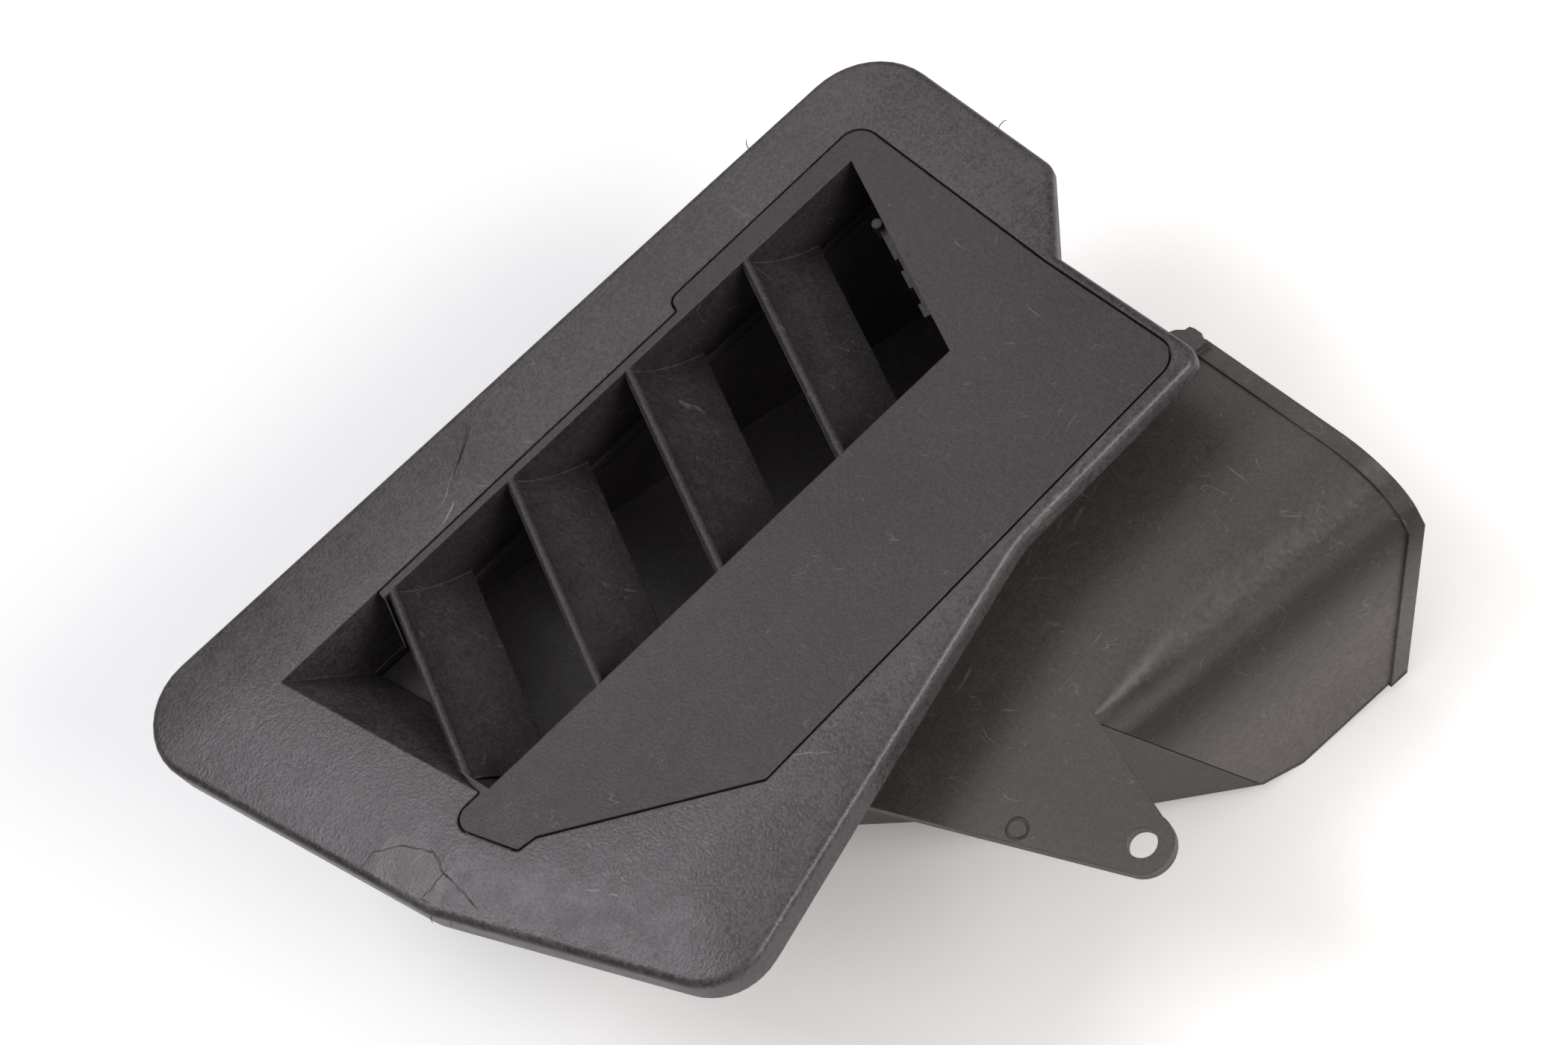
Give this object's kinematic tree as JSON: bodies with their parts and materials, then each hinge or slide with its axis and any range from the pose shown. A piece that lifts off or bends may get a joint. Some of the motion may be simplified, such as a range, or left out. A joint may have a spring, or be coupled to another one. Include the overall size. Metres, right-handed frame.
{
  "type": "air intake vent",
  "caption": "Side air intake vent: a smooth face panel with slanted curved vanes in a flush insert, and a moulded duct with a fixing ear that turns the air to one side.",
  "frame": {"origin": "centre of the fixing hole in the ear, on the ear's outer side", "axes": "+Z is the outward normal of the face and of the ear, +X runs along the straight edge of the louvre opening towards the wide mouth of the duct"},
  "size_m": [0.249, 0.1983, 0.0941],
  "materials": {
    "panel_plastic": "satin moulded, fine grain",
    "insert_plastic": "satin moulded, fine grain",
    "duct_plastic": "satin moulded, grained on the shoulder",
    "duct_back_plastic": "satin moulded",
    "screw_steel": "zinc plated"
  },
  "bodies": {
    "root": {"face_panel": "panel_plastic", "louvre_insert": "insert_plastic", "upper_duct_shell": "duct_plastic", "lower_duct_shell": "duct_back_plastic", "fixing_screws": "screw_steel"}
  },
  "joints": []
}
